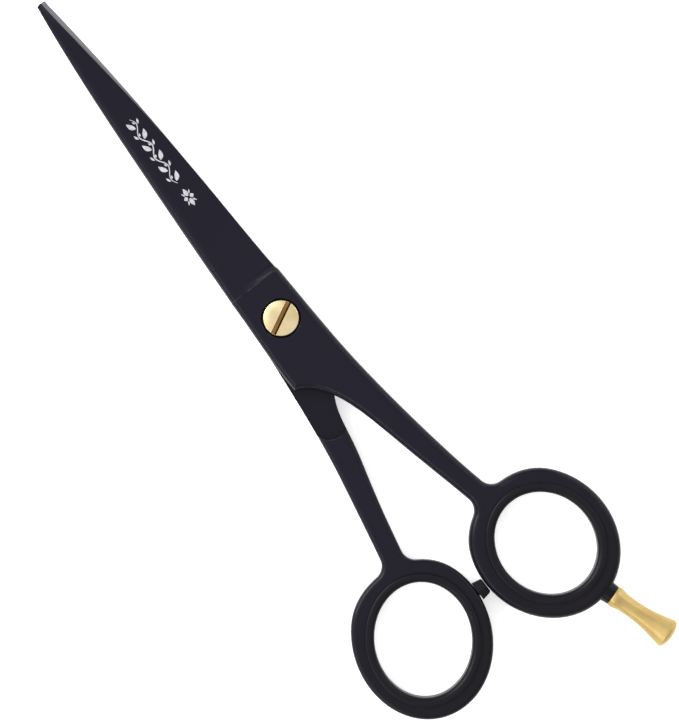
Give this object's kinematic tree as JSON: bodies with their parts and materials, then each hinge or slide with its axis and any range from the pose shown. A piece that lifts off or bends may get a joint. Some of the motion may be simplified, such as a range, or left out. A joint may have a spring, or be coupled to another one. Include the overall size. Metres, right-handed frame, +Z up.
{
  "type": "hair cutting shears",
  "caption": "Hair cutting shears with offset finger bows, rubber inserts, a slotted pivot screw, a finger rest and a bumper between the bows.",
  "frame": {"origin": "on the pivot axis, in the plane of the underside, on which the closed shears rest", "axes": "+X to the blade tips, +Y to the thumb bow's side, +Z up to the pivot screw's head"},
  "size_m": [0.1522, 0.0511, 0.0059],
  "materials": {
    "coated_steel": "matte black coating with a slight violet tint on stainless steel, bare ground steel on the blades' inner faces",
    "insert_rubber": "satin black moulded rubber",
    "gold_metal": "satin gold-coloured turned metal",
    "black_nylon": "matte black nylon"
  },
  "bodies": {
    "finger_side": {"finger_half": "coated_steel", "finger_insert": "insert_rubber", "pivot_washer": "black_nylon"},
    "thumb_side": {"thumb_half": "coated_steel", "thumb_insert": "insert_rubber", "bumper": "black_nylon"},
    "tension_screw": {"pivot_screw": "gold_metal"},
    "rest": {"finger_rest": "gold_metal"}
  },
  "joints": [
    {"name": "blade_pivot", "type": "hinge", "parent": "finger_side", "child": "thumb_side", "pos_m": [0, 0, 0.0026], "axis": [0, 0, -1], "range_deg": [0, 145]},
    {"name": "tension_turn", "type": "hinge", "parent": "thumb_side", "child": "tension_screw", "pos_m": [0, 0, 0.0026], "axis": [0, 0, 1], "range_deg": [-90, 90]},
    {"name": "finger_rest_unscrew", "type": "slide", "parent": "finger_side", "child": "rest", "axis": [-0.9537, -0.3007, 0], "range_m": [0, 0.0045]}
  ]
}
